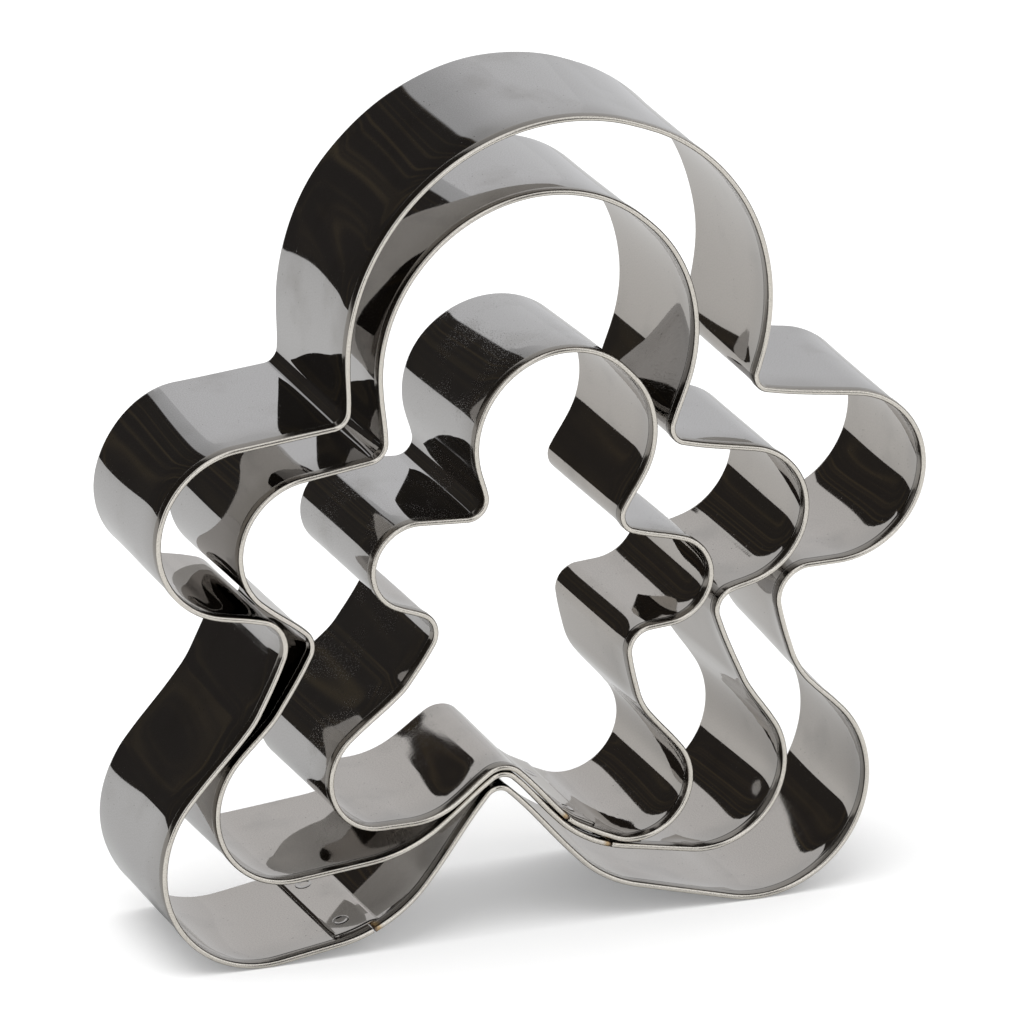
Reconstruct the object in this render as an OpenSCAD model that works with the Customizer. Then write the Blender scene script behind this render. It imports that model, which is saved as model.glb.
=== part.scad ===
/* [Strip] */
// Width of the strip, from its folded rim to its cutting edge
strip_depth = 25; // [18:0.5:32]
// Thickness of the sheet
sheet_t = 0.3; // [0.2:0.05:0.4]
// Thickness of the folded rim
rim_t = 0.8; // [0.6:0.05:0.9]
// Height of the folded rim, along the strip's width
rim_h = 1.6; // [1.2:0.1:3]
// Bevel along the folded rim's corners
rim_bevel = 0.15; // [0.05:0.01:0.2]

/* [Seam] */
// Length of the tab that laps inside the other end of the strip
lap_len = 5.5; // [4.5:0.1:6]
// Slack between the two layers of the lap
lap_gap = 0.05; // [0.02:0.01:0.08]
// Slit between the two ends of the rim
seam_gap = 0.3; // [0.2:0.05:0.5]
// Radius of a spot weld
weld_r = 1.3; // [0.9:0.05:1.5]
// Distance of each spot weld from the nearer edge of the strip
weld_inset = 6; // [4:0.5:8]
// Height of a spot weld above the sheet
weld_proud = 0.06; // [0.02:0.01:0.1]

/* [Nest] */
// Gap between the rims where one cutter sits astride another
nest_gap = 0.2; // [0.15:0.05:0.3]

/* [Large cutter] */
// Height of the crown of the head
large_crown_z = 120.8; // [115:0.1:130]
// Distances from the middle to the body under the arms, right and left
large_body_x = [36.6, 38.1]; // [33:0.1:44]
// Distances from the middle to the outsides of the feet, right and left
large_foot_x = [51.6, 54.9]; // [46:0.1:60]
// Height of the crotch
large_crotch_z = 22.3; // [21.5:0.1:24.5]
// Slopes of the legs' inner sides, right and left
large_slope = [46, 54.6]; // [38:0.1:60]
// Lengths of the legs' straight inner sides, right and left
large_inner_run = [15.9, 13.8]; // [10:0.1:18]
// Radius at the crown of the head
large_head_r = 31; // [28:0.5:34]
// Radius in the corners of the neck
large_neck_r = 2.3; // [1.5:0.1:4]
// Radius round the hands
large_hand_r = 12.5; // [10.5:0.1:14]
// Radius under the arms
large_pit_r = 4.6; // [3.5:0.1:7]
// Radius of the hollows of the shins
large_shin_r = 14; // [11:0.5:17]
// Radius round the outsides of the feet
large_foot_r = 15.9; // [13:0.1:18]
// Radius of the soles
large_sole_r = 20; // [17:0.5:22]
// Radius between the legs
large_crotch_r = 2.3; // [1.5:0.1:3]

/* [Medium cutter] */
// Drop of the crown below the large cutter's
medium_crown_drop = 10.5; // [6:0.1:13]
// Drops of the corners under the arms below the large cutter's, right and left
medium_arm_drop = [2, 1.9]; // [1:0.1:3]
// Insets of the body under the arms, right and left
medium_body_inset = [9.4, 4]; // [3.5:0.1:12]
// Gaps from the feet to the large cutter's shins, beyond a nesting gap, right and left
medium_foot_gap = [6.4, 1]; // [0:0.1:8]
// Lengths of the legs' straight inner sides, right and left
medium_inner_run = [9.4, 9]; // [7:0.1:12]
// Radius at the crown of the head
medium_head_r = 23.4; // [21:0.1:25.5]
// Radius in the corners of the neck
medium_neck_r = 2.5; // [1.5:0.1:4]
// Radius round the hands
medium_hand_r = 10.2; // [9:0.1:11.5]
// Radius under the arms
medium_pit_r = 3; // [2:0.1:4]
// Radius of the hollows of the shins
medium_shin_r = 14; // [11:0.5:17]
// Radius round the outsides of the feet
medium_foot_r = 11.5; // [9.5:0.1:13]
// Radius of the soles
medium_sole_r = 20; // [17:0.5:22]
// Radius between the legs
medium_crotch_r = 2.8; // [2:0.1:4]

/* [Small cutter] */
// Drop of the crown below the medium cutter's
small_crown_drop = 23.7; // [18:0.1:26]
// Insets of the body under the arms, right and left
small_body_inset = [13.1, 18.6]; // [11:0.1:20]
// Gaps from the feet to the medium cutter's soles, beyond a nesting gap, right and left
small_foot_gap = [0, 3.3]; // [0:0.1:4]
// Extra lengths of the legs' inner sides over the medium cutter's, right and left
small_run_more = [0.4, -3.7]; // [-4:0.1:1.2]
// Radius at the crown of the head
small_head_r = 12.8; // [11.5:0.1:14]
// Radius in the corners of the neck
small_neck_r = 2.6; // [1.5:0.1:3.5]
// Radius round the hands
small_hand_r = 6.4; // [5.4:0.1:7.4]
// Radius under the arms
small_pit_r = 3.3; // [2:0.1:4.5]
// Radius of the hollows of the shins
small_shin_r = 10; // [8:0.5:12]
// Radius round the outsides of the feet
small_foot_r = 8; // [6.8:0.1:8.8]
// Radius of the soles
small_sole_r = 11; // [9:0.5:12]

/* [Hidden] */

// Facets of a drawn arc
arc_fn = 96;
// Each straight run bites this far into the bends at its ends, and lies this far inside their
// section all round, so that none of its faces coincides with one of theirs
bite = 0.1;
slip = 0.005;

// Each cutter is one strip bent round fifteen round formers, joined by straight runs.
// A former is [x, z, radius, turn] in the plane of the rim. Its turn is OUT where the figure
// bulges and IN where it is hollow. The formers go anticlockwise from the crotch: along the
// right leg, arm and head, and back down the left side. All sizes are to the strip's middle,
// and each list of two holds the right side's value and the left side's.
OUT = 1;
IN = -1;
SIDES = [1, -1];
BOTH = [0, 1];

// Direction at an angle that is measured up from straight outwards, on either side
function aim(i, angle) = [SIDES[i]*cos(angle), sin(angle)];

// Distance between two formers that the strip passes on opposite sides, with a straight run of
// the given length between them
function across(r1, r2, run) = norm([r1 + r2, run]);

// Centres of the soles, at the ends of the legs' straight inner sides
function soles(crotch, crotch_r, sole_r, slope, run) =
  [for (i = BOTH) crotch + (crotch_r + sole_r)*aim(i, 90 - slope[i]) + run[i]*aim(i, -slope[i])];

// Centres of the shins, each the given run of strip above its foot
function shins(feet, foot_r, shin_r, shin_x, run) =
  [for (i = BOTH)
    let(x = SIDES[i]*(shin_x[i] + shin_r), reach = across(foot_r, shin_r, run[i]))
    [x, feet[i][1] + sqrt(reach^2 - (x - feet[i][0])^2)]];

// Centres of the hands over the corners under the arms
function hands(pits, pit_r, hand_r, angle, run) =
  [for (i = BOTH) pits[i] + across(pit_r, hand_r, run[i])*aim(i, angle[i])];

// Centres of the two arcs of the crown, and of the neck's corners beside them
function heads(crown_x, crown_z, fall, head_r) =
  [for (i = BOTH) [crown_x[i], crown_z - fall[i] - head_r]];
function necks(heads, head_r, neck_r, angle, run) =
  [for (i = BOTH) heads[i] + across(head_r, neck_r, run[i])*aim(i, angle[i])];

function former(c, r, turn) = [c[0], c[1], r, turn];
function backwards(v) = [for (i = [len(v) - 1:-1:0]) v[i]];

// Formers of a whole figure
function figure(
  crotch, crotch_r, soles, sole_r, feet, foot_r, shins, shin_r,
  pits, pit_r, hands, hand_r, necks, neck_r, heads, head_r
) =
  let(half = function(i) [
    former(soles[i], sole_r, OUT),
    former(feet[i], foot_r, OUT),
    former(shins[i], shin_r, IN),
    former(pits[i], pit_r, IN),
    former(hands[i], hand_r, OUT),
    former(necks[i], neck_r, IN),
    former(heads[i], head_r, OUT)
  ])
  concat([former(crotch, crotch_r, IN)], half(0), backwards(half(1)));

// The large cutter stands on its two feet
large_shin_flare = [1.5, 2.1];
large_pit_rise = [3.2, 3];
large_crotch = [-4.8, large_crotch_z - large_crotch_r];
large_soles = soles(large_crotch, large_crotch_r, large_sole_r, large_slope, large_inner_run);
large_feet = [for (i = BOTH) [SIDES[i]*(large_foot_x[i] - large_foot_r), rim_t/2 + large_foot_r]];
large_shins = shins(large_feet, large_foot_r, large_shin_r, large_body_x + large_shin_flare, run = [5.4, 11.4]);
large_pits = [for (i = BOTH) [SIDES[i]*(large_body_x[i] + large_pit_r), large_shins[i][1] + large_pit_rise[i]]];
large_hands = hands(large_pits, large_pit_r, large_hand_r, angle = [76.5, 81.7], run = [4.3, 6.4]);
large_heads = heads(crown_x = [2, 0.4], crown_z = large_crown_z, fall = [0.6, 0], head_r = large_head_r);
large_necks = necks(large_heads, large_head_r, large_neck_r, angle = [-17.7, -14], run = [1, 6.2]);
large_formers = figure(
  large_crotch, large_crotch_r, large_soles, large_sole_r, large_feet, large_foot_r,
  large_shins, large_shin_r, large_pits, large_pit_r, large_hands, large_hand_r,
  large_necks, large_neck_r, large_heads, large_head_r
);

// The medium cutter sits astride the large one, a little loose on its right side. Its feet
// stand in from the large one's shins, and its underarms lie inside the large one's.
nest_step = rim_t + nest_gap;
seat_x = 0.4;
seat_slack = 0.8;
medium_flatter = [0, 15.7];
medium_slope = large_slope - medium_flatter;
medium_shin_flare = [3.1, 2.5];
medium_foot_angle = [-139, -132];
seat = nest_step + seat_slack + large_crotch_r - medium_crotch_r;
medium_crotch = large_crotch + [seat_x, (seat - seat_x*sin(medium_slope[0]))/cos(medium_slope[0])];
medium_soles = soles(medium_crotch, medium_crotch_r, medium_sole_r, medium_slope, medium_inner_run);
medium_feet = [for (i = BOTH)
  large_shins[i] + (large_shin_r + medium_foot_r + nest_step + medium_foot_gap[i])*aim(i, medium_foot_angle[i])];
medium_body_x = large_body_x - medium_body_inset;
medium_shins = shins(
  medium_feet, medium_foot_r, medium_shin_r, medium_body_x + medium_shin_flare, run = [5.9, 5.4]
);
medium_pits = [for (i = BOTH)
  [SIDES[i]*(medium_body_x[i] + medium_pit_r), large_pits[i][1] + large_pit_r - medium_arm_drop[i] - medium_pit_r]];
medium_hands = hands(medium_pits, medium_pit_r, medium_hand_r, angle = [91, 97], run = [3, 7.5]);
medium_crown_z = large_crown_z - medium_crown_drop;
medium_heads = heads(crown_x = [-1.4, -2.2], crown_z = medium_crown_z, fall = [0.7, 0], head_r = medium_head_r);
medium_necks = necks(medium_heads, medium_head_r, medium_neck_r, angle = [-30, -23.6], run = [5.6, 7.2]);
medium_formers = figure(
  medium_crotch, medium_crotch_r, medium_soles, medium_sole_r, medium_feet, medium_foot_r,
  medium_shins, medium_shin_r, medium_pits, medium_pit_r, medium_hands, medium_hand_r,
  medium_necks, medium_neck_r, medium_heads, medium_head_r
);

// The small cutter is nested round the medium one's crotch, with its legs' inner sides
// parallel, and its feet rest inside the medium one's soles
small_crotch_r = medium_crotch_r + nest_step;
small_inner_run = medium_inner_run + small_run_more;
small_shin_flare = [1.1, 2];
small_pit_rise = [3.3, 1.1];
small_foot_angle = [-101, -116];
small_soles = soles(medium_crotch, small_crotch_r, small_sole_r, medium_slope, small_inner_run);
small_feet = [for (i = BOTH)
  medium_soles[i] + (medium_sole_r - small_foot_r - nest_step - small_foot_gap[i])*aim(i, small_foot_angle[i])];
small_body_x = medium_body_x - small_body_inset;
small_shins = shins(small_feet, small_foot_r, small_shin_r, small_body_x + small_shin_flare, run = [6.8, 8.1]);
small_pits = [for (i = BOTH) [SIDES[i]*(small_body_x[i] + small_pit_r), small_shins[i][1] + small_pit_rise[i]]];
small_hands = hands(small_pits, small_pit_r, small_hand_r, angle = [77.2, 89], run = [3, 3.9]);
small_crown_z = medium_crown_z - small_crown_drop;
small_heads = heads(crown_x = [3.6, 2.2], crown_z = small_crown_z, fall = [1.4, 0], head_r = small_head_r);
small_necks = necks(small_heads, small_head_r, small_neck_r, angle = [-46.5, -30.6], run = [4.6, 3.3]);
small_formers = figure(
  medium_crotch, small_crotch_r, small_soles, small_sole_r, small_feet, small_foot_r,
  small_shins, small_shin_r, small_pits, small_pit_r, small_hands, small_hand_r,
  small_necks, small_neck_r, small_heads, small_head_r
);

// Depth of the lapping tab, from the cutting edge to just behind the rim
tab_depth = strip_depth - rim_h - 0.2;
// Length of the jog that carries the tab inwards
jog_len = 0.5;
lap_step = sheet_t + lap_gap;

// Heading of the straight run from former a to former b
function heading(a, b) =
  let(d = [b[0] - a[0], b[1] - a[1]])
  atan2(d[1], d[0]) - asin((b[2]*b[3] - a[2]*a[3])/norm(d));

// Heading of the run that leaves each former
function headings(formers) =
  let(n = len(formers)) [for (i = [0:n - 1]) heading(formers[i], formers[(i + 1) % n])];

// Point of former f at which the strip has heading h, and the way it points there
function touch(f, h) = [f[0] + f[3]*f[2]*sin(h), f[1] - f[3]*f[2]*cos(h)];
function way(h) = [cos(h), sin(h)];

// Angle that the strip turns through on a former between two headings
function swing(from, to, turn) = let(t = ((to - from)*turn + 720) % 360) t > 340 ? t - 360 : t;

// Angle of a stretch of strip on a former
function span(f, length) = length/(f[2]*PI/180);

// A seam lies on the right or the left sole, the given share of the way from the foot to the
// leg's inner side, and its tab points to the foot. It is written [former, way of the tab,
// heading at the slit, heading at the foot's end of the sole].
RIGHT_SOLE = 1;
LEFT_SOLE = 14;
function seam(formers, index, share) =
  let(
    f = formers[index],
    h = headings(formers),
    dir = index == RIGHT_SOLE ? 1 : -1,
    leg = index == RIGHT_SOLE ? h[index - 1] : h[index],
    foot = index == RIGHT_SOLE ? h[index] : h[index - 1]
  )
  [index, dir, foot + share*(leg - foot), foot];
large_seam = seam(large_formers, LEFT_SOLE, 0.34);
medium_seam = seam(medium_formers, RIGHT_SOLE, 0.2);
small_seam = seam(small_formers, RIGHT_SOLE, 0.76);

// Length of the tab that fits on the seam's former, before the straight run to the foot
function tab_on_sole(f, seam) = min(lap_len, seam[1]*(seam[3] - seam[2])/span(f, 1));

// Cross-section of the strip, with the cutting edge at 0 and the folded rim at the far end
module strip_section(inset = 0) {
  w = sheet_t/2 - inset;
  s = rim_t/2 - inset;
  b = rim_bevel;
  edge = inset;
  fold = strip_depth - rim_h + inset;
  top = strip_depth - inset;
  polygon([
    [-w, edge], [w, edge], [w, fold], [s - b, fold], [s, fold + b], [s, top - b], [s - b, top],
    [b - s, top], [-s, top - b], [-s, fold + b], [b - s, fold], [-w, fold]
  ]);
}

// Cross-section of the tab
module tab_section(inset = 0) {
  translate([inset - sheet_t/2, inset])
    square([sheet_t - 2*inset, tab_depth - 2*inset]);
}

// Sweeps a cross-section round former f, between two headings in either order
module bend(f, h1, h2) {
  low = min(h1, h2);
  high = max(h1, h2);
  translate([f[0], f[1], 0])
    rotate([0, 0, f[3] == OUT ? low - 90 : low + 90])
      rotate_extrude(angle = high - low, $fn = arc_fn)
        translate([f[2], 0])
          children();
}

// Draws a cross-section out along a straight run from point p, its left side inwards
module straight(p, h, length) {
  translate([p[0], p[1], 0])
    rotate([0, 0, h])
      rotate([90, 0, 90])
        linear_extrude(length)
          children();
}

// The tab behind the rim at the seam, with the jog that joins it to its own end of the strip
module tab(f, seam) {
  dir = seam[1];
  jog = span(f, jog_len);
  on_sole = tab_on_sole(f, seam);
  rest = lap_len - on_sole;
  bend(f, seam[2] - dir*jog, seam[2] + dir*span(f, on_sole))
    translate([-lap_step, 0])
      tab_section();
  bend(f, seam[2] - dir*0.8*jog, seam[2] - dir*0.2*jog)
    translate([-lap_step, 0])
      square([lap_step, tab_depth]);
  if (rest > bite) {
    h = seam[3];
    p = touch(f, h) + [-sin(h), cos(h)]*lap_step - way(h)*(dir > 0 ? bite : rest);
    straight(p, h, rest + bite) tab_section(slip);
  }
}

// The former that carries the seam: both ends of the strip, the slit between them and the tab
module seam_bend(f, from, to, seam) {
  slit = seam[2] + seam[1]*span(f, seam_gap);
  bend(f, from, min(seam[2], slit)) strip_section();
  bend(f, max(seam[2], slit), to) strip_section();
  tab(f, seam);
}

// A spot weld through both layers, in the middle of the lap
module weld(formers, seam, depth) {
  f = formers[seam[0]];
  dir = seam[1];
  middle = lap_len/2;
  on_sole = min(middle, tab_on_sole(f, seam));
  h = seam[2] + dir*span(f, on_sole);
  p = touch(f, h) + way(h)*dir*(middle - on_sole);
  translate([p[0], p[1], depth])
    rotate([0, 0, h])
      translate([0, -sheet_t/2 - weld_proud, 0])
        rotate([-90, 0, 0])
          cylinder(h = sheet_t + lap_step + 2*weld_proud, r = weld_r, $fn = 48);
}

// The strip, lying in the drawing plane with its cutting edge down
module strip(formers, seam) {
  n = len(formers);
  h = headings(formers);
  difference() {
    union() {
      for (i = [0:n - 1]) {
        f = formers[i];
        from = h[(i + n - 1) % n];
        to = from + f[3]*swing(from, h[i], f[3]);
        if (i == seam[0])
          seam_bend(f, from, to, seam);
        else
          bend(f, from, to) strip_section();
        p = touch(f, h[i]);
        q = touch(formers[(i + 1) % n], h[i]);
        straight(p - way(h[i])*bite, h[i], norm(q - p) + 2*bite) strip_section(slip);
      }
    }
    weld(formers, seam, weld_inset);
    weld(formers, seam, strip_depth - weld_inset);
  }
}

// Stands what is drawn in the plane upright, with its rim in front and its cutting edge behind,
// and with the middle between the large cutter's hands over the origin
RIGHT_HAND = 5;
LEFT_HAND = 10;
middle_x = (large_formers[RIGHT_HAND][0] + large_formers[LEFT_HAND][0])/2;
module upright() {
  translate([-middle_x, strip_depth/2, 0])
    rotate([90, 0, 0])
      children();
}

module large_strip() {
  color("silver") upright() strip(large_formers, large_seam);
}
module large_weld_front() {
  color("gray") upright() weld(large_formers, large_seam, strip_depth - weld_inset);
}
module large_weld_back() {
  color("gray") upright() weld(large_formers, large_seam, weld_inset);
}
module medium_strip() {
  color("silver") upright() strip(medium_formers, medium_seam);
}
module medium_weld_front() {
  color("gray") upright() weld(medium_formers, medium_seam, strip_depth - weld_inset);
}
module medium_weld_back() {
  color("gray") upright() weld(medium_formers, medium_seam, weld_inset);
}
module small_strip() {
  color("silver") upright() strip(small_formers, small_seam);
}
module small_weld_front() {
  color("gray") upright() weld(small_formers, small_seam, strip_depth - weld_inset);
}
module small_weld_back() {
  color("gray") upright() weld(small_formers, small_seam, weld_inset);
}

large_strip();
large_weld_front();
large_weld_back();
medium_strip();
medium_weld_front();
medium_weld_back();
small_strip();
small_weld_front();
small_weld_back();
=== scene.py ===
import math

import bpy
import numpy as np
from mathutils import Matrix, Vector


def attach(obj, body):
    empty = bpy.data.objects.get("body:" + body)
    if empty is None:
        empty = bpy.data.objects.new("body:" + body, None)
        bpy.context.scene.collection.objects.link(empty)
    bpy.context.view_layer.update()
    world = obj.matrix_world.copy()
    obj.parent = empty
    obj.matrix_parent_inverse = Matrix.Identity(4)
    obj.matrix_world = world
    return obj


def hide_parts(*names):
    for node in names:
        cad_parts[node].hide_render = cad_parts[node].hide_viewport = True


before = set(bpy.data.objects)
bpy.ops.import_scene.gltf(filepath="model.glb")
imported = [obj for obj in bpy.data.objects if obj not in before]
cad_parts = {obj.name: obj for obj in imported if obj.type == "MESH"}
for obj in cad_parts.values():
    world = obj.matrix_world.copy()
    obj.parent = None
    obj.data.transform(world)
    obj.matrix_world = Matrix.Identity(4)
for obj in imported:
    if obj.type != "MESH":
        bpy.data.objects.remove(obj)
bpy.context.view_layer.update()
mm = 0.001
print("frame loaded:", len(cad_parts), "nodes")


# Shader maths: a wrapped socket, so that plain expressions add Math nodes
class Value:
    def __init__(self, tree, socket):
        self.tree = tree
        self.socket = socket

    def math(self, operation, *others):
        return addNode(self.tree, "ShaderNodeMath", {"operation": operation},
                       dict(enumerate((self, *others))))

    def __add__(self, other):
        return self.math("ADD", other)

    def __sub__(self, other):
        return self.math("SUBTRACT", other)

    def __mul__(self, other):
        return self.math("MULTIPLY", other)

    def __rsub__(self, other):
        return addNode(self.tree, "ShaderNodeMath", {"operation": "SUBTRACT"},
                       {0: other, 1: self})

    __radd__ = __add__
    __rmul__ = __mul__


# Any other node: its type, its settings, then the values or links of its sockets. Returns the
# output with the given number or name, or nothing for the node that ends a tree
def addNode(tree, kind, settings=None, sockets=None, out=0):
    node = tree.nodes.new(kind)
    for name, setting in (settings or {}).items():
        setattr(node, name, setting)
    for name, given in (sockets or {}).items():
        socket = node.inputs[name]
        if isinstance(given, Value):
            tree.links.new(given.socket, socket)
        elif socket.type == "RGBA":
            socket.default_value = (*given, 1)
        else:
            socket.default_value = given
    return Value(tree, node.outputs[out]) if node.outputs else None


# A soft step from 0 to 1 as a value passes from low to high
def ease(value, low, high):
    return addNode(value.tree, "ShaderNodeMapRange", {"interpolation_type": "SMOOTHSTEP"},
                   {0: value, 1: low, 2: high, 3: 0.0, 4: 1.0})


def blendColours(tree, factor, first, second):
    return addNode(tree, "ShaderNodeMix", {"data_type": "RGBA"},
                   {0: factor, 6: first, 7: second}, out=2)


# The emptied node tree of a material or world
def clearTree(owner):
    owner.use_nodes = True
    owner.node_tree.nodes.clear()
    return owner.node_tree


def putInScene(name, data):
    thing = bpy.data.objects.new(name, data)
    bpy.context.scene.collection.objects.link(thing)
    return thing


# Camera, at the photograph's viewing angle
camera = {
    "lens": 760.9,
    "sensor": 36,
    "clip": (0.1, 50),  # m, nearest and farthest
    "aim": (-0.24, -12.5, 60.4),  # mm, a point in the plane of the rims
    "right": (0.91083, -0.41067, 0.04272),
    "down": (-0.12070, -0.36374, -0.92365),
    "ahead": (0.39486, 0.83611, -0.38079),
    "offset": (4.163, 2.570, 2975.545),  # mm, from the camera to that point
}


def makeCamera():
    right, down, ahead = (Vector(camera[k]) for k in ("right", "down", "ahead"))
    x, y, z = camera["offset"]
    place = (Vector(camera["aim"]) - right*x - down*y - ahead*z)*mm
    data = bpy.data.cameras.new("camera")
    data.lens = camera["lens"]
    data.sensor_width = camera["sensor"]
    data.clip_start, data.clip_end = camera["clip"]
    eye = putInScene("camera", data)
    turn = Matrix((right, -down, -ahead)).transposed().to_4x4()
    eye.matrix_world = Matrix.Translation(place) @ turn
    bpy.context.scene.camera = eye


makeCamera()
print("camera placed")


# Studio: a pale table, a pale tent with dark gaps that the steel mirrors, a pale card behind
# and one soft lamp. Angles are in degrees, places in metres
studio = {
    "tableRadius": 0.55,
    "tableCorners": 48,
    "tableColour": (0.8, 0.8, 0.8),
    "tableLift": 0.22,  # lightens the table for the camera alone
    "tableMirrored": 0.55,  # its colour as the steel shows it
    "tentLight": 0.76,
    "tentShade": 0.90,  # its level for all that doesn't mirror it
    "tentTint": (0.985, 0.99, 1.01),
    "frontLight": 0.90,
    "frontEdge": (0.1, -0.5),  # a ray's y where the front's level begins, and where it is full
    "edgeFall": 0.7,  # the tent's share of its level beside the widest gap
    "fallLength": 26,  # the tent is back at its full level so far right of that gap
    "fallInside": 10,  # and so far inside it, which shows above and below the gap
    "gaps": [(4, 75), (112, 140), (-100, -72), (-168, -146)],  # left of straight behind
    "gapBlur": 0.4,
    "gapLow": -26,
    "gapHigh": 58,  # between these heights the gaps are dark
    "gapDark": (0.030, 0.027, 0.025),
    "gapStreak": (0.090, 0.072, 0.046),
    "streakScale": (0.55, 0.03),  # across and up
    "streakEdge": (0.50, 0.85),
    "keyPlace": (-0.25, -0.10, 1.0),
    "keyAim": (0, 0, 0.05),
    "keySize": 0.9,
    "keyPower": 6.5,
    "cardCorners": [(-0.12, 0.15), (0.25, 0.15), (0.25, 0.34), (0.02, 0.34),
                    (-0.005, 0.318), (-0.035, 0.315)],  # across and up
    "cardPlace": 0.4,
    "cardLight": 0.80,
}


# A flat stage piece of one face, and the empty node tree of its material
def makeFlat(name, corners):
    mesh = bpy.data.meshes.new(name)
    mesh.from_pydata(corners, [], [list(range(len(corners)))])
    material = bpy.data.materials.new(name)
    mesh.materials.append(material)
    return putInScene(name, mesh), clearTree(material)


def makeTable():
    count, radius = studio["tableCorners"], studio["tableRadius"]
    turns = [2*math.pi*i/count for i in range(count)]
    corners = [(radius*math.cos(a), radius*math.sin(a), 0) for a in turns]
    table, tree = makeFlat("table", corners)
    seen = addNode(tree, "ShaderNodeLightPath", out="Is Camera Ray")
    mirrored = addNode(tree, "ShaderNodeLightPath", out="Is Glossy Ray")
    tone = blendColours(tree, mirrored, studio["tableColour"], (studio["tableMirrored"],)*3)
    body = addNode(tree, "ShaderNodeBsdfDiffuse", {}, {"Color": tone})
    lift = addNode(tree, "ShaderNodeEmission", {}, {"Strength": seen*studio["tableLift"]})
    both = addNode(tree, "ShaderNodeAddShader", {}, {0: body, 1: lift})
    addNode(tree, "ShaderNodeOutputMaterial", {}, {"Surface": both})


def makeTent():
    world = bpy.data.worlds.new("tent")
    bpy.context.scene.world = world
    tree = clearTree(world)
    cameraRay = addNode(tree, "ShaderNodeLightPath", out="Is Camera Ray")
    glossyRay = addNode(tree, "ShaderNodeLightPath", out="Is Glossy Ray")
    aim = addNode(tree, "ShaderNodeTexCoord")
    x, y, z = (addNode(tree, "ShaderNodeSeparateXYZ", {}, {0: aim}, out=i) for i in range(3))
    around = (x*-1).math("ARCTAN2", y)*(180/math.pi)  # left of straight behind
    above = z.math("ARCSINE")*(180/math.pi)
    blur = studio["gapBlur"]
    gap = 0
    for low, high in studio["gaps"]:
        gap = gap + ease(around, low - blur, low + blur)*ease(around, high + blur, high - blur)
    gap = gap*ease(above, studio["gapLow"], studio["gapLow"] + 1)
    gap = gap*ease(above, studio["gapHigh"] + 1, studio["gapHigh"] - 1)
    edge = studio["gaps"][0][0]
    fall = ease(around, edge, edge - studio["fallLength"])*(1 - studio["edgeFall"])
    fall = studio["edgeFall"] + fall
    fall = fall + ease(around, edge, edge + studio["fallInside"])*(1 - fall)
    front = ease(y, *studio["frontEdge"])
    level = studio["tentLight"] + front*(studio["frontLight"] - studio["tentLight"])
    pale = addNode(tree, "ShaderNodeCombineColor", {},
                   {i: level*tint for i, tint in enumerate(studio["tentTint"])})
    pale = addNode(tree, "ShaderNodeVectorMath", {"operation": "SCALE"}, {0: pale, "Scale": fall})
    across, up = studio["streakScale"]
    drawn = addNode(tree, "ShaderNodeCombineXYZ", {}, {0: around*across, 1: above*up})
    streak = addNode(tree, "ShaderNodeTexNoise", {"noise_dimensions": "2D"},
                     {"Vector": drawn, "Scale": 1.0, "Detail": 5.0, "Roughness": 0.6})
    dark = blendColours(tree, ease(streak, *studio["streakEdge"]),
                        studio["gapDark"], studio["gapStreak"])
    mirrored = blendColours(tree, gap, pale, dark)
    seen = blendColours(tree, glossyRay, (studio["tentShade"],)*3, mirrored)
    seen = blendColours(tree, cameraRay, seen, (1.0, 1.0, 1.0))
    glow = addNode(tree, "ShaderNodeBackground", {}, {"Color": seen, "Strength": 1.0})
    addNode(tree, "ShaderNodeOutputWorld", {}, {"Surface": glow})


def makeLamp():
    data = bpy.data.lights.new("key", "AREA")
    data.shape = "DISK"
    data.size = studio["keySize"]
    data.energy = studio["keyPower"]
    lamp = putInScene("key", data)
    lamp.location = studio["keyPlace"]
    aim = Vector(studio["keyAim"]) - lamp.location
    lamp.rotation_euler = aim.to_track_quat("-Z", "Y").to_euler()
    lamp.visible_glossy = False


# Only the steel mirrors the card
def makeCard():
    corners = [(x, studio["cardPlace"], z) for x, z in studio["cardCorners"]]
    card, tree = makeFlat("card", corners)
    glow = addNode(tree, "ShaderNodeEmission", {},
                   {"Color": studio["tentTint"], "Strength": studio["cardLight"]})
    addNode(tree, "ShaderNodeOutputMaterial", {}, {"Surface": glow})
    card.visible_camera = card.visible_diffuse = False
    card.visible_shadow = card.visible_transmission = False


makeTable()
makeTent()
makeCard()
makeLamp()
bpy.context.scene.view_settings.view_transform = "Standard"
print("studio made")


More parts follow.
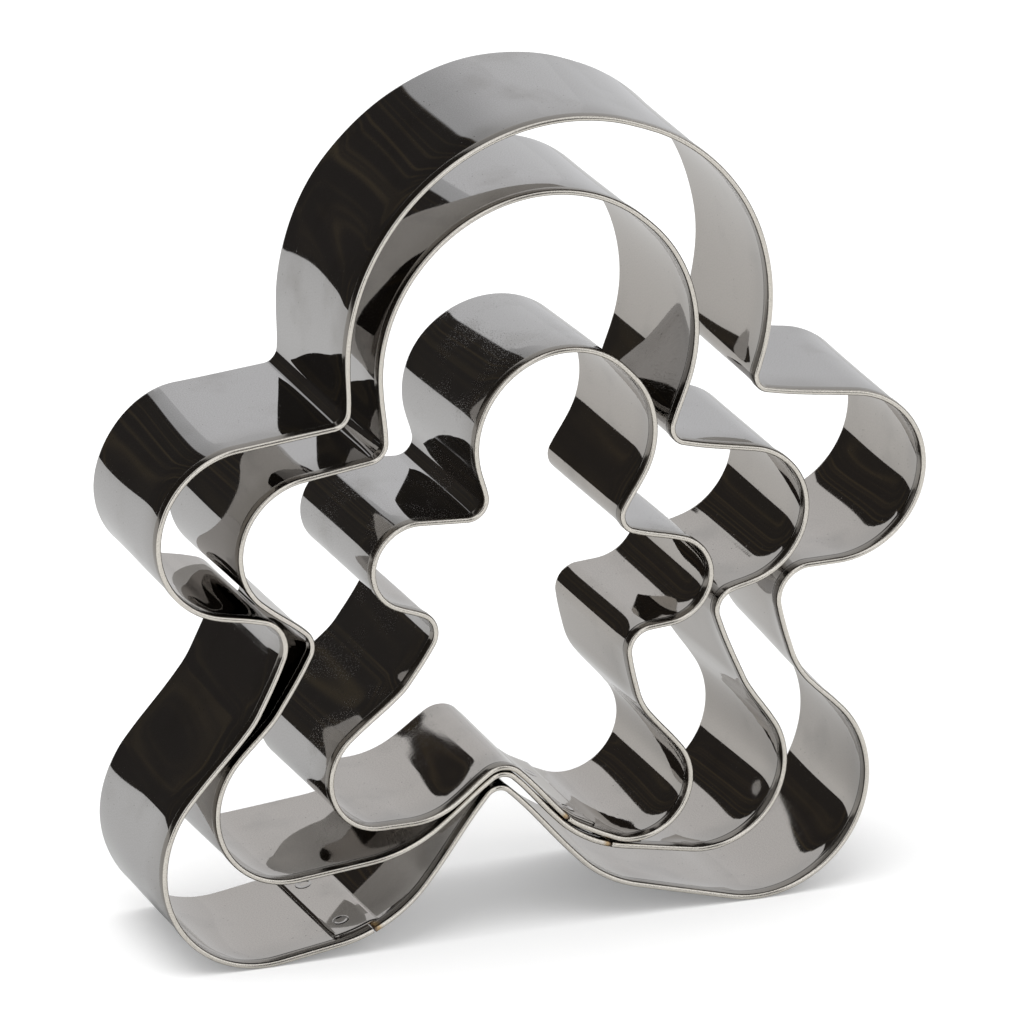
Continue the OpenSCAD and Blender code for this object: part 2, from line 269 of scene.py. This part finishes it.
# The strip's own sizes, in mm: the same for all three cutters
strip = {
    "front": -12.5,  # the folded rim
    "back": 12.5,  # the cutting edge
    "sheet": 0.3,
    "rim": 0.8,
    "rimHeight": 1.6,
    "nose": 0.46,  # depth of the rounded fold
    "lip": 0.14,  # roundness of the hem's cut end
    "groove": 0.02,  # depth of the line where the hem ends
    "pinch": 0.2,  # the wall leans inwards by this where it meets the hem, on the inside
    "pinchOut": 0.1,  # and by this on the outside
    "pinchLength": 4.2,
    "pinchPower": 2.5,
    "springPower": 1.3,  # how late along its width the wall springs off the straight
    "waveStart": -11,  # the wall's waves begin here
    "waveRise": 3,
    "waveFall": 4,  # and calm down towards the cutting edge
    "waveCount": 9,
    "waveLength": (13, 42),  # shortest and longest, along the strip
    "waveDepth": (24, 80),  # and across it
    "edgeRound": 0.07,
    "wallStep": 1.1,
    "longStep": 0.7,
    "turnStep": math.radians(2.5),
    "lapStep": 0.35,  # how far inside the other end the lap lies
    "lapLength": 5.5,
    "lapInset": 1.8,  # from the rim's front to the lap's near edge
    "lapRound": 0.05,
    "lapRows": 18,
    "jog": 1.5,  # length of the bend at the lap's root
    "weldInset": 6.0,
    "weldRadius": 1.3,
    "weldProud": 0.09,
    "weldSink": 0.012,
    "tintDepth": 2.6,  # from the rim's front
    "tintFade": 1.8,
    "tintReach": 1.0,
}

# Each cutter: its lap's way along the strip, how its far edge is sprung off the straight, and
# the small waves of its hand-bent wall. A spring is (x, z), reach, (x shift, z shift), in mm.
# grain is how gritty the steel is
cutters = {
    "large": {
        "lapWay": -1,
        "springs": [((40, 22), 17, (1.8, 0)), ((0, 121), 26, (0, 0.5)),
                    ((-60, 80), 14, (2.0, 0.6)), ((-52, 18), 16, (1.1, 0)),
                    ((56, 88), 12, (0.3, 0.8)), ((-5, 22), 9, (1.3, -0.6)),
                    ((17, 12), 7, (0.55, 0.55))],
        "wave": 0.26,
        "seed": 3,
        "grain": 0.3,
    },
    "medium": {
        "lapWay": 1,
        "springs": [((34, 28), 13, (-0.8, 0)), ((25, 97), 13, (-0.6, 0)),
                    ((-5, 23), 9, (1.3, -0.6)), ((0, 104), 16, (0.5, -0.8))],
        "wave": 0.17,
        "seed": 7,
        "grain": 0.25,
    },
    "small": {
        "lapWay": 1,
        "springs": [((-5, 25), 9, (1.3, -0.6)), ((2, 86), 13, (-0.3, -1.2)),
                    ((33, 62), 10, (-0.4, -0.7))],
        "wave": 0.13,
        "seed": 11,
        "grain": 1.0,
    },
}

# How the rim's outline is read from the frame, in mm
tracing = {
    "level": 0.05,  # a side face's normal has less than this across the strip
    "smallest": 0.05,  # mm2, of a face that is read
    "edge": 0.3,  # how deep behind the front a corner may lie
    "apart": 0.06,  # points closer than this are one
    "recent": 400,  # how many points back that is looked for
    "reach": 22,  # the next point is no farther than this
    "straight": 0.985,  # and this straight ahead
    "begun": 10,  # after so many points the outline may close
}


# The strip's middle line is read from the frame: every corner of the rim's side faces, less
# half the rim's thickness along its own normal, is a point of it
def readRim(node):
    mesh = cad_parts[node].data
    rows, caps = [], []
    for face in mesh.polygons:
        corners = [mesh.vertices[i].co/mm for i in face.vertices]
        deepest = max(c.y for c in corners)
        if (deepest > strip["front"] + strip["rimHeight"]
                or face.area/mm/mm < tracing["smallest"] or abs(face.normal.y) > tracing["level"]):
            continue
        middle = sum(corners, Vector())/len(corners)
        caps.append((middle.x, middle.z, face.normal.x, face.normal.z))
        for corner, loop in zip(corners, face.loop_indices):
            n = mesh.corner_normals[loop].vector
            if corner.y < strip["front"] + tracing["edge"] and abs(n.y) < tracing["level"]:
                rows.append((corner.x - n.x*strip["rim"]/2, corner.z - n.z*strip["rim"]/2,
                             n.x, n.z))
    return np.array(rows), np.array(caps)


# Puts those points in order, anticlockwise, and returns places, ways and distances along
def orderRim(rows):
    kept = []
    for row in rows[np.lexsort((rows[:, 0], rows[:, 1]))]:
        if all((row[0] - k[0])**2 + (row[1] - k[1])**2 > tracing["apart"]**2
               for k in kept[-tracing["recent"]:]):
            kept.append(row)
    rows = np.array(kept)
    reach, straight = tracing["reach"], tracing["straight"]
    start = at = int(rows[:, 1].argmax())
    way = np.array([-abs(rows[at, 3]), rows[at, 2]*np.sign(rows[at, 3])])
    free = np.ones(len(rows), bool)
    places, ways = [], []
    while True:
        places.append(rows[at, :2])
        ways.append(way)
        free[at] = at == start and len(places) < tracing["begun"]
        d = rows[:, :2] - places[-1]
        far = np.hypot(*d.T) + 1e-9
        lines = np.c_[-rows[:, 3], rows[:, 2]]
        lines *= np.sign((lines*d).sum(1))[:, None]
        ahead = d @ way/far > straight
        ok = free & (far < reach) & ahead & ((lines*d).sum(1)/far > straight)
        ok[at] = False
        if len(places) > tracing["begun"]:
            ok[start] = ahead[start] and far[start] < reach
        if not ok.any():
            break
        nearest = int(np.where(ok, far, 1e9).argmin())
        if nearest == start and len(places) > tracing["begun"]:
            break
        way = lines[nearest]/np.hypot(*lines[nearest])
        at = nearest
    places, ways = np.array(places), np.array(ways)
    steps = np.hypot(*(np.roll(places, -1, axis=0) - places).T)
    return places, ways, np.r_[0, np.cumsum(steps)]


class Path:
    def __init__(self, node):
        rows, caps = readRim(node)
        self.places, self.ways, self.along = orderRim(rows)
        self.length = self.along[-1]
        begins, ends = [], []
        for x, z, nx, nz in caps:
            i = int(np.hypot(*(self.places - (x, z)).T).argmin())
            facing = np.array((nx, nz)) @ self.ways[i]
            s = self.along[i] + (np.array((x, z)) - self.places[i]) @ self.ways[i]
            if abs(facing) > 0.9:  # one of the rim's two end faces
                (ends if facing > 0 else begins).append(s)
        self.cut = float(np.mean(ends))  # where the strip ends
        self.start = float(np.mean(begins))  # where it begins

    # Place, way and outward side at a distance along the strip
    def at(self, s):
        s = np.atleast_1d(np.asarray(s, float)) % self.length
        i = np.clip(np.searchsorted(self.along, s, "right") - 1, 0, len(self.places) - 1)
        j = (i + 1) % len(self.places)
        span = (self.along[i + 1] - self.along[i])[:, None]
        t = ((s - self.along[i])[:, None])/span
        p, q, u, v = self.places[i], self.places[j], self.ways[i]*span, self.ways[j]*span
        place = p*(2*t**3 - 3*t**2 + 1) + u*(t**3 - 2*t**2 + t)
        place = place + q*(3*t**2 - 2*t**3) + v*(t**3 - t**2)
        way = (p - q)*(6*t**2 - 6*t) + u*(3*t**2 - 4*t + 1) + v*(3*t**2 - 2*t)
        way /= np.hypot(*way.T)[:, None]
        return place, way, np.c_[way[:, 1], -way[:, 0]]

    # Stations from one distance to another, close together where the strip turns
    def stations(self, first, last):
        marks = [first, last]
        around = int(math.floor(first/self.length))
        for lap in range(around, int(math.floor(last/self.length)) + 1):
            for i in range(len(self.places)):
                a = self.along[i] + lap*self.length
                b = self.along[i + 1] + lap*self.length
                turn = self.ways[i] @ self.ways[(i + 1) % len(self.ways)]
                bend = math.acos(max(-1, min(1, turn)))
                count = max(1, math.ceil((b - a)/strip["longStep"]),
                            math.ceil(bend/strip["turnStep"]))
                marks += [a + (b - a)*k/count for k in range(count)]
        marks = np.unique(np.round([m for m in marks if first <= m <= last], 5))
        keep = np.r_[True, np.diff(marks) > 0.05]
        keep[-1] = True
        return marks[keep]


# Section of the strip, from the middle of the cutting edge round by the outside to the rim and
# back by the inside. Each point is how far out, how deep, and how much hem: 0 on the wall,
# about a third in the groove, a half on the hem's sides and 1 on its nose
def section():
    half, rim = strip["sheet"]/2, strip["rim"]/2
    back, front = strip["back"], strip["front"]
    nose, lip, r = strip["nose"], strip["lip"], strip["edgeRound"]
    hemEnd = front + strip["rimHeight"]
    side = [(half - r, back - 0.004, 0), (half - 0.3*r, back - 0.3*r, 0),
            (half, back - r, 0), (half, back - 0.25, 0)]
    rows = int(strip["rimHeight"] + 24/strip["wallStep"])
    side += [(half, y, 0) for y in np.linspace(back - 0.6, hemEnd + 0.7, rows)]
    side += [(half, hemEnd + 0.35, 0.1), (half, hemEnd + 0.12, 0.35),
             (half - strip["groove"], hemEnd + 0.04, 0.35), (half + 0.02, hemEnd - 0.01, 0.35)]
    for a in (20, 45, 70, 90):
        turn = math.radians(a)
        side.append((rim - lip*(1 - math.sin(turn)), hemEnd - 0.02 - lip*(1 - math.cos(turn)),
                     0.35 + a/600))
    side += [(rim, front + nose + 0.5, 0.5), (rim, front + nose + 0.2, 0.5)]
    for a in range(0, 90, 15):
        turn = math.radians(a)
        side.append((rim*math.cos(turn), front + nose*(1 - math.sin(turn)), min(1, 0.5 + a/90)))
    outside = np.array(side)
    inside = outside[::-1]*(-1, 1, 1)
    return np.vstack([outside, [(0, front, 1)], inside])


# Small waves over a wall, the same on every run
def waves(seed, s, y):
    random = np.random.default_rng(seed)
    total = 0
    for _ in range(strip["waveCount"]):
        longWave = random.uniform(*strip["waveLength"])
        deepWave = random.uniform(*strip["waveDepth"])
        turn, lean = random.uniform(0, 2*math.pi, 2)
        total = total + np.sin(2*math.pi*s/longWave + turn + 2*math.pi*y/deepWave + lean)
    return total/strip["waveCount"]


# How far the springs push each place at each depth
def springShift(springs, place, y):
    shift = np.zeros(place.shape[:1] + (2,))
    for centre, reach, push in springs:
        near = np.exp(-((place - centre)**2).sum(1)/(2*reach**2))
        shift += near[:, None]*np.array(push)
    share = np.clip((y - strip["front"])/(strip["back"] - strip["front"]), 0, 1)
    return shift[:, None, :]*(share**strip["springPower"])[None, :, None]


# Carries a section along the path. Offsets move the whole section outwards, station by station
def sweep(path, spec, marks, shape, offsets=0):
    place, _, out = path.at(marks)
    a, y, hem = shape.T
    offsets = np.broadcast_to(offsets, len(marks))
    swell = spec["wave"]*waves(spec["seed"], marks[:, None], y[None, :])
    swell = swell*np.clip((y - strip["waveStart"])/strip["waveRise"], 0, 1)[None, :]
    swell = swell*np.clip((strip["back"] - y)/strip["waveFall"] + 0.5, 0, 1)[None, :]
    # the wall leans in towards the hem, whose inner side begins flush with it
    hemEnd = strip["front"] + strip["rimHeight"]
    lean = np.clip((hemEnd + strip["pinchLength"] - y)/strip["pinchLength"], 0, 1)
    pinch = np.where(a < 0, strip["pinch"], strip["pinchOut"])*lean**strip["pinchPower"]
    flush = np.where(y > hemEnd - 0.2, -strip["sheet"]/2 - strip["pinch"] - 0.02, 0)
    onHem = np.where(a < 0, np.minimum(a, flush), a)
    a = np.where(y > hemEnd + 0.02, a - pinch, onHem)
    reach = a[None, :] + offsets[:, None] + swell
    flat = place[:, None, :] + out[:, None, :]*reach[:, :, None]
    flat = flat + springShift(spec["springs"], place, y)
    size = flat.shape[:2]
    points = np.stack([flat[:, :, 0], np.broadcast_to(y, size), flat[:, :, 1]], 2)
    unrolled = np.stack([np.broadcast_to(marks[:, None], size), points[:, :, 1],
                         np.broadcast_to(np.sign(shape[:, 0])[None, :], size)], 2)
    return points, unrolled, np.broadcast_to(hem[None, :], size)


# Gathers swept strips into one mesh. Its attributes are flat (along, deep, and 1 outside or -1
# inside), hem, and scorch
class Builder:
    def __init__(self):
        self.points, self.faces, self.flat, self.hem, self.scorch = [], [], [], [], []

    def add(self, points, flat, hem, scorch):
        first = len(self.points)
        rows, columns = points.shape[:2]
        self.points += points.reshape(-1, 3).tolist()
        self.flat += flat.reshape(-1, 3).tolist()
        self.hem += hem.reshape(-1).tolist()
        self.scorch += scorch.reshape(-1).tolist()
        for i in range(rows - 1):
            a, b = first + i*columns, first + (i + 1)*columns
            for j in range(columns):
                k = (j + 1) % columns
                self.faces.append((a + j, a + k, b + k, b + j))
        # the two cut ends, in quads across the sheet
        for row, turned in ((0, False), (rows - 1, True)):
            base = first + row*columns
            for j in range(columns//2):
                quad = [base + j, base + (columns - 1 - j), base + (columns - 2 - j), base + j + 1]
                quad = [q for n, q in enumerate(quad) if q not in quad[:n]]
                if len(quad) > 2:
                    self.faces.append(quad if not turned else quad[::-1])

    def make(self, name):
        mesh = bpy.data.meshes.new(name)
        mesh.from_pydata([(x*mm, y*mm, z*mm) for x, y, z in self.points], [], self.faces)
        mesh.validate()
        for title, kind, field in (("flat", "FLOAT_VECTOR", "vector"), ("hem", "FLOAT", "value"),
                                   ("scorch", "FLOAT", "value")):
            layer = mesh.attributes.new(title, kind, "POINT")
            layer.data.foreach_set(field, np.ravel(getattr(self, title)))
        mesh.shade_smooth()
        return putInScene(name, mesh)


# Yellow and brown tint at the end of the rim that carries the lap, where the seam was welded
def scorchAt(away, points):
    deep = (strip["front"] + strip["tintDepth"] - points[..., 1])/strip["tintFade"]
    return np.exp(-(away[:, None]/strip["tintReach"])**2)*np.clip(deep, 0, 1)


def makeStrip(name, spec):
    path = Path(name + "_strip")
    builder = Builder()
    way = spec["lapWay"]
    marks = path.stations(path.start, path.cut + (path.length if path.cut < path.start else 0))
    points, flat, hem = sweep(path, spec, marks, section())
    away = marks[-1] - marks if way > 0 else marks - marks[0]
    builder.add(points, flat, hem, scorchAt(away, points))
    # the lap bends inwards over the jog, then runs on along the inside of the other end
    root = path.cut if way > 0 else path.start
    laps = path.stations(*sorted((root - way*strip["jog"], root + way*strip["lapLength"])))
    inwards = np.clip(way*(laps - root)/strip["jog"] + 1, 0, 1)
    inwards = inwards**2*(3 - 2*inwards)
    half, r = strip["sheet"]/2, strip["lapRound"]
    near, back = strip["front"] + strip["lapInset"], strip["back"] - 0.02
    outside = [(half - r, back), (half, back - r)]
    outside += [(half, y) for y in np.linspace(back - 0.6, near + 0.6, strip["lapRows"])]
    outside += [(half, near + r), (half - r, near)]
    lapShape = np.array([(a, y, 0) for a, y in outside] + [(-a, y, 0) for a, y in outside[::-1]])
    points, flat, hem = sweep(path, spec, laps, lapShape, -strip["lapStep"]*inwards - 0.004)
    grainShift = (40, 0, 0)  # so that the lap's grain isn't the wall's
    builder.add(points, flat + grainShift, hem, scorchAt(np.abs(laps - root), points)*0.5)
    piece = builder.make(name + "Strip")
    print(name, "strip:", len(builder.points), "points, length", round(path.length, 1),
          "mm, seam at", round(path.cut, 1), round(path.start, 1))
    return piece, path, root


# A spot weld: the dimple and raised ring that the electrodes leave on both faces of the lap.
# The ring's points are radius and height, as shares of the weld's
weld = {
    "ring": [(0.0, 0.10), (0.35, 0.12), (0.62, 0.35), (0.8, 0.9), (0.9, 1.0), (1.0, 0.8),
             (1.08, 0.25), (1.14, 0.0)],
    "around": 40,
}


def makeWeld(name, spec, path, root, depth):
    s = root + spec["lapWay"]*strip["lapLength"]/2
    if depth == "Front":
        y = strip["front"] + strip["weldInset"]
    else:
        y = strip["back"] - strip["weldInset"]
    place, way, out = (v[0] for v in path.at(s))
    place = place + springShift(spec["springs"], place[None], np.array([y]))[0, 0]
    swell = spec["wave"]*waves(spec["seed"], np.array([s]), np.array([y]))[0]
    half, proud, sink = strip["sheet"]/2, strip["weldProud"], strip["weldSink"]
    top, bottom = half + swell, -half - strip["lapStep"] + swell
    widest, radius = weld["ring"][-1][0], strip["weldRadius"]
    lines = [(r*radius/widest, top + proud*h - sink) for r, h in weld["ring"]]
    lines += [(r*radius/widest, bottom - proud*h + sink) for r, h in weld["ring"][::-1]]
    middle = np.array((place[0], y, place[1]))
    axis = np.array((out[0], 0, out[1]))
    across = np.array((way[0], 0, way[1]))
    deep = np.array((0, 1, 0))
    points = []
    for a in np.linspace(0, 2*math.pi, weld["around"], endpoint=False):
        for r, high in lines[1:-1]:
            points.append(middle + axis*high + r*(across*math.cos(a) + deep*math.sin(a)))
    columns = len(lines) - 2
    starts = [(i*columns, (i + 1) % weld["around"]*columns) for i in range(weld["around"])]
    faces = [(i + k, i + k + 1, j + k + 1, j + k) for i, j in starts for k in range(columns - 1)]
    for side, high in ((0, lines[0][1]), (columns - 1, lines[-1][1])):
        points.append(middle + axis*high)
        for i, j in starts:
            fan = (len(points) - 1, i + side, j + side)
            faces.append(fan if side == 0 else fan[::-1])
    mesh = bpy.data.meshes.new(name + "Weld" + depth)
    mesh.from_pydata([tuple(p*mm) for p in points], [], faces)
    mesh.shade_smooth()
    return putInScene(name + "Weld" + depth, mesh)


# Polished stainless strip: near-mirror walls, a softer hem, fine grit and faint rolling lines,
# with painted shade inside, near the rim, on the hem's sides and in its groove, and a painted
# highlight on the hem's nose. Pairs are where a soft step begins and ends
steel = {
    "colour": (0.505, 0.498, 0.493),
    # painted shade: the inside walls darker and warmer than the outside, for the shade and warm
    # bounce light inside the cutter
    "insideShadedColour": (0.490, 0.461, 0.428),
    # the stains' colour, also used for the painted shade near the rim
    "stainAndShade": (0.33, 0.318, 0.30),
    "pitColour": (0.16, 0.15, 0.14),
    # painted shade: the hem's flat sides darker, for the dark they mirror
    "hemSideShade": (0.25, 0.232, 0.207),
    # painted highlight: the hem's rounded nose pale and warm
    "noseHighlight": (0.88, 0.835, 0.755),
    "grimeAndShade": (0.045, 0.037, 0.030),
    "straw": (0.55, 0.36, 0.14),
    "brown": (0.16, 0.08, 0.04),
    "rolledScale": (0.06, 3.0, 1.0),
    "cloudScale": 0.12,
    "gritScale": 5.0,
    "pitScale": 0.9,
    "pitEdge": (0.11, 0.04),
    "pitPatches": (0.40, 0.56),
    "speckleEdge": (0.54, 0.70),
    "specklePatches": (0.62, 0.80),
    "speckleSpread": 0.20,  # how much wider the patches are on the grittiest steel
    "cloudStain": 0.5,
    "gritStain": 0.30,
    "frontShade": 0.45,  # painted shade, darkening the wall towards the rim
    "frontDepth": (-5.0, -11.0),
    "hemWear": 0.30,  # how much of the nose's painted highlight the grit takes
    "grimeAndShadeShare": 0.85,  # grime and painted shade, in the groove where the hem ends
    "scorchShare": 0.8,
    "rough": 0.035,
    "hemRough": 0.24,
    "speckleRough": 0.42,
    "rolledRough": 0.03,
    "pitRough": 0.2,
    "scorchRough": 0.08,
    "gritBump": 0.10,
    "bumpDistance": 0.00001,
}


def makeSteel(name, grain):
    material = bpy.data.materials.new(name)
    tree = clearTree(material)
    flat = addNode(tree, "ShaderNodeAttribute", {"attribute_name": "flat"}, out=1)
    hem = addNode(tree, "ShaderNodeAttribute", {"attribute_name": "hem"}, out=2)
    scorch = addNode(tree, "ShaderNodeAttribute", {"attribute_name": "scorch"}, out=2)
    depth, side = (addNode(tree, "ShaderNodeSeparateXYZ", {}, {0: flat}, out=i) for i in (1, 2))
    outside = ease(side, -0.5, 0.5)
    rolled = addNode(tree, "ShaderNodeMapping", {},
                     {"Vector": flat, "Scale": steel["rolledScale"]})
    lines = addNode(tree, "ShaderNodeTexNoise", {}, {"Vector": rolled, "Scale": 1.0, "Detail": 4.0})
    cloud = addNode(tree, "ShaderNodeTexNoise", {},
                    {"Vector": flat, "Scale": steel["cloudScale"], "Detail": 3.0})
    grit = addNode(tree, "ShaderNodeTexNoise", {},
                   {"Vector": flat, "Scale": steel["gritScale"], "Detail": 2.0})
    spots = addNode(tree, "ShaderNodeTexVoronoi", {},
                    {"Vector": flat, "Scale": steel["pitScale"], "Randomness": 1.0})
    pits = ease(spots, *steel["pitEdge"])*ease(cloud, *steel["pitPatches"])
    patches = (v - steel["speckleSpread"]*grain for v in steel["specklePatches"])
    speckle = ease(grit, *steel["speckleEdge"])*ease(cloud, *patches)*grain
    speckle = speckle*(outside*0.8 + 0.2)  # the insides are cleaner

    # painted shade: the inside walls take the darker, warmer colour
    wearAndPaintedLight = blendColours(tree, outside, steel["insideShadedColour"], steel["colour"])
    # stains where the clouds and grit are, and painted shade darkening the wall towards the rim
    for share in (ease(cloud, 0.5, 0.8)*steel["cloudStain"],
                  ease(grit, 0.38, 0.62)*steel["gritStain"],
                  ease(depth, *steel["frontDepth"])*steel["frontShade"]):
        wearAndPaintedLight = blendColours(tree, share, wearAndPaintedLight, steel["stainAndShade"])
    wearAndPaintedLight = blendColours(tree, pits*0.8, wearAndPaintedLight, steel["pitColour"])
    # painted shade on the hem's sides
    wearAndPaintedLight = blendColours(tree, ease(hem, 0.38, 0.46), wearAndPaintedLight, steel["hemSideShade"])
    # painted highlight along the hem's nose, dulled where the grit is
    nose = ease(hem, 0.62, 0.92)*(1 - ease(grit, 0.45, 0.65)*steel["hemWear"])
    wearAndPaintedLight = blendColours(tree, nose, wearAndPaintedLight, steel["noseHighlight"])
    # grime and painted shade in the groove where the hem ends
    groove = ease(hem, 0.12, 0.32)*ease(hem, 0.48, 0.38)
    wearAndPaintedLight = blendColours(tree, groove*steel["grimeAndShadeShare"], wearAndPaintedLight, steel["grimeAndShade"])
    burnt = blendColours(tree, ease(scorch, 0.75, 1.0)*0.75, steel["straw"], steel["brown"])
    colour = blendColours(tree, ease(scorch, 0.1, 0.75)*steel["scorchShare"], wearAndPaintedLight, burnt)

    rough = steel["rough"] + hem*(steel["hemRough"] - steel["rough"])
    rough = rough + speckle*steel["speckleRough"] + ease(lines, 0.5, 0.75)*steel["rolledRough"]
    rough = rough + pits*steel["pitRough"] + scorch*steel["scorchRough"]
    height = grit*grain + lines*(0.5 + hem*3.0) - pits*2.0
    bump = addNode(tree, "ShaderNodeBump", {},
                   {"Strength": steel["gritBump"], "Distance": steel["bumpDistance"],
                    "Height": height})
    shader = addNode(tree, "ShaderNodeBsdfPrincipled", {},
                     {"Base Color": colour, "Metallic": 1.0, "Roughness": rough, "Normal": bump})
    addNode(tree, "ShaderNodeOutputMaterial", {}, {"Surface": shader})
    return material


def fitPiece(piece, node, finish, body):
    piece.data.materials.append(finish)
    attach(piece, body)
    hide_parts(node)


for name, spec in cutters.items():
    finish = makeSteel(name + "Steel", spec["grain"])
    piece, path, root = makeStrip(name, spec)
    fitPiece(piece, name + "_strip", finish, name)
    for depth in ("Front", "Back"):
        dot = makeWeld(name, spec, path, root, depth)
        fitPiece(dot, name + "_weld_" + depth.lower(), finish, name)
    print(name, "cutter made")
